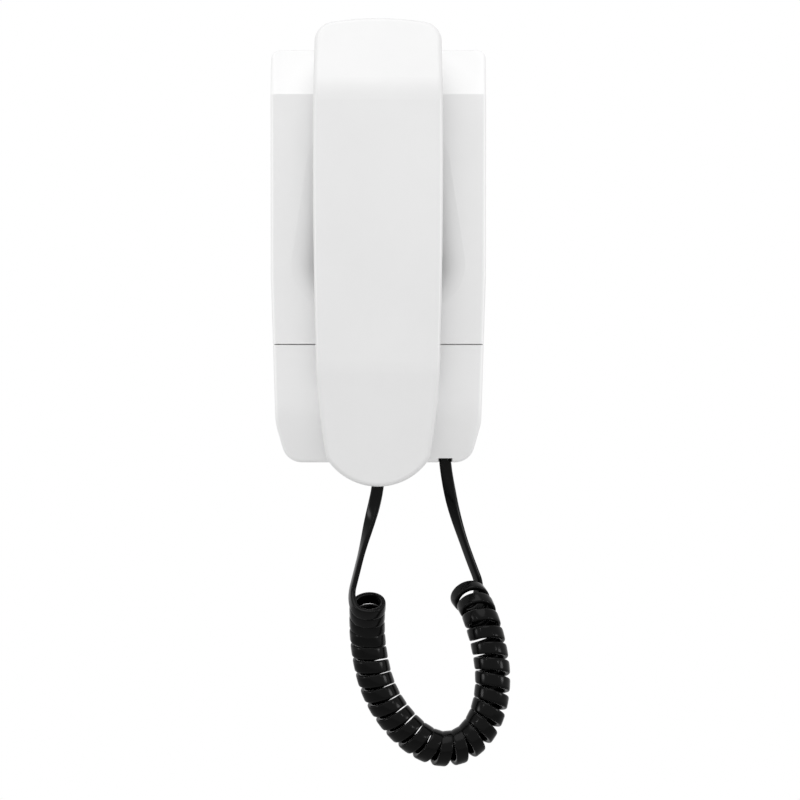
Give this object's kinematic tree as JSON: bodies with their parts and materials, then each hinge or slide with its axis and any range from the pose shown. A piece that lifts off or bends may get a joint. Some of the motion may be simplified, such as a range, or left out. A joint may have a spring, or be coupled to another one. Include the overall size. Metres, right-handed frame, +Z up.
{
  "type": "audio intercom handset",
  "caption": "Wall audio intercom: a shallow base with a cradle, a lift-off handset with ear and mouth cups, a door release button and a flat black curly cord.",
  "frame": {"origin": "centre of the base's flat back, on the wall, halfway up the base", "axes": "+X to the right as seen from the front, +Y into the wall, so the front faces -Y, and +Z up"},
  "size_m": [0.108, 0.056, 0.3352],
  "materials": {
    "casing": "satin",
    "handset": "satin",
    "button": "satin",
    "cord_jacket": "gloss",
    "plug_plastic": "gloss",
    "socket_plastic": "matte",
    "switch_plastic": "matte",
    "board": "satin",
    "chip": "matte",
    "screw_steel": "zinc plated",
    "spring_steel": "bright",
    "clamp_brass": "nickel plated",
    "terminal_plastic": "satin",
    "transformer_core": "varnished",
    "capacitor_can": "sleeved",
    "speaker_black": "matte",
    "capsule_metal": "brushed",
    "foam": "matte",
    "soft_rubber": "matte",
    "ballast_iron": "as cast",
    "wire_insulation": "satin"
  },
  "bodies": {
    "base": {"rear_cover": "casing", "front_cover": "casing", "lower_cover": "casing", "cover_screws": "screw_steel", "main_board": "board", "board_screws": "screw_steel", "terminal_block": "terminal_plastic", "terminal_screws": "clamp_brass", "ringer_speaker": "speaker_black", "ringer_gasket": "foam", "hook_switch_body": "switch_plastic", "hook_spring": "spring_steel", "door_switch": "switch_plastic", "door_spring": "spring_steel", "volume_switch_body": "switch_plastic", "base_jack": "socket_plastic", "base_plug": "plug_plastic", "line_transformer": "transformer_core", "capacitors": "capacitor_can", "board_chips": "chip", "cord_coil": "cord_jacket", "cord_lead_base": "cord_jacket"},
    "handset": {"handset_front_shell": "handset", "handset_rear_shell": "handset", "receiver_capsule": "capsule_metal", "receiver_gasket": "foam", "microphone_capsule": "capsule_metal", "microphone_boot": "soft_rubber", "ballast_weight": "ballast_iron", "handset_jack": "socket_plastic", "handset_plug": "plug_plastic", "handset_screws": "screw_steel", "screw_caps": "handset", "receiver_wires": "wire_insulation", "microphone_wires": "wire_insulation", "cord_lead_handset": "cord_jacket"},
    "hook": {"hook_plunger": "switch_plastic"},
    "door": {"door_button": "button"},
    "volume": {"volume_knob": "button"}
  },
  "joints": [
    {"name": "handset_lift", "type": "slide", "parent": "base", "child": "handset", "axis": [0, -0.866, 0.5], "range_m": [0, 0.08]},
    {"name": "hook_travel", "type": "slide", "parent": "base", "child": "hook", "axis": [0, -1, 0], "range_m": [0, 0.004], "deforming": ["hook_spring"]},
    {"name": "door_press", "type": "slide", "parent": "base", "child": "door", "axis": [0, 1, 0], "range_m": [0, 0.0012], "stiffness_N_per_m": 800, "springref_m": -0.0015, "deforming": ["door_spring"]},
    {"name": "volume_slide", "type": "slide", "parent": "base", "child": "volume", "axis": [1, 0, 0], "range_m": [-0.0025, 0.0025]}
  ],
  "couplings": [
    {"joint": "hook_travel", "follows": "handset_lift", "ratio": 0.05}
  ]
}
